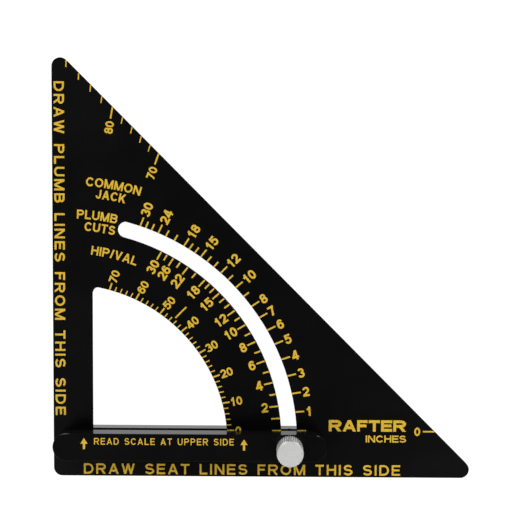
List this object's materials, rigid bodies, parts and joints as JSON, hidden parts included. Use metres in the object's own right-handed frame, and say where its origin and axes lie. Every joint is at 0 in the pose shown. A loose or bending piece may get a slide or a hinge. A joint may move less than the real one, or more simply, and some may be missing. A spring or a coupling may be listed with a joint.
{
  "type": "adjustable rafter square",
  "caption": "Flat triangular layout square with a swinging two-bar fence, an arc slot and a knurled clamp knob.",
  "frame": {"origin": "bottom centre of the whole object's box, under the middle of the blade's two legs", "axes": "+Z out of the printed face, +X along the seat leg away from the heel, +Y along the plumb leg away from the heel"},
  "size_m": [0.171, 0.171, 0.0232],
  "materials": {
    "anodised_plate": "black anodised, semi-gloss",
    "anodised_bar": "black anodised, semi-gloss",
    "satin_aluminium": "satin, bare",
    "steel": "turned steel",
    "brass": "turned brass",
    "yellow_print": "screen-printed ink"
  },
  "bodies": {
    "blade": {"blade": "anodised_plate"},
    "fence": {"fence_front_bar": "anodised_bar", "fence_back_bar": "anodised_bar", "pivot_screw": "steel", "clamp_insert": "brass"},
    "clamp_stud": {"clamp_stud": "steel"},
    "clamp_knob": {"clamp_knob": "satin_aluminium"}
  },
  "joints": [
    {"name": "fence_swing", "type": "hinge", "parent": "blade", "child": "fence", "pos_m": [-0.07938, -0.07193, 0.007], "axis": [0, 0, 1], "range_deg": [0, 75]},
    {"name": "clamp_lift", "type": "slide", "parent": "fence", "child": "clamp_stud", "axis": [0, 0, 1], "range_m": [0, 0.0016]},
    {"name": "knob_turn", "type": "hinge", "parent": "clamp_stud", "child": "clamp_knob", "pos_m": [0.01162, -0.07193, 0.007], "axis": [0, 0, 1], "range_deg": [0, 720]}
  ],
  "couplings": [
    {"joint": "knob_turn", "follows": "clamp_lift", "rad_per_m": 7854}
  ]
}
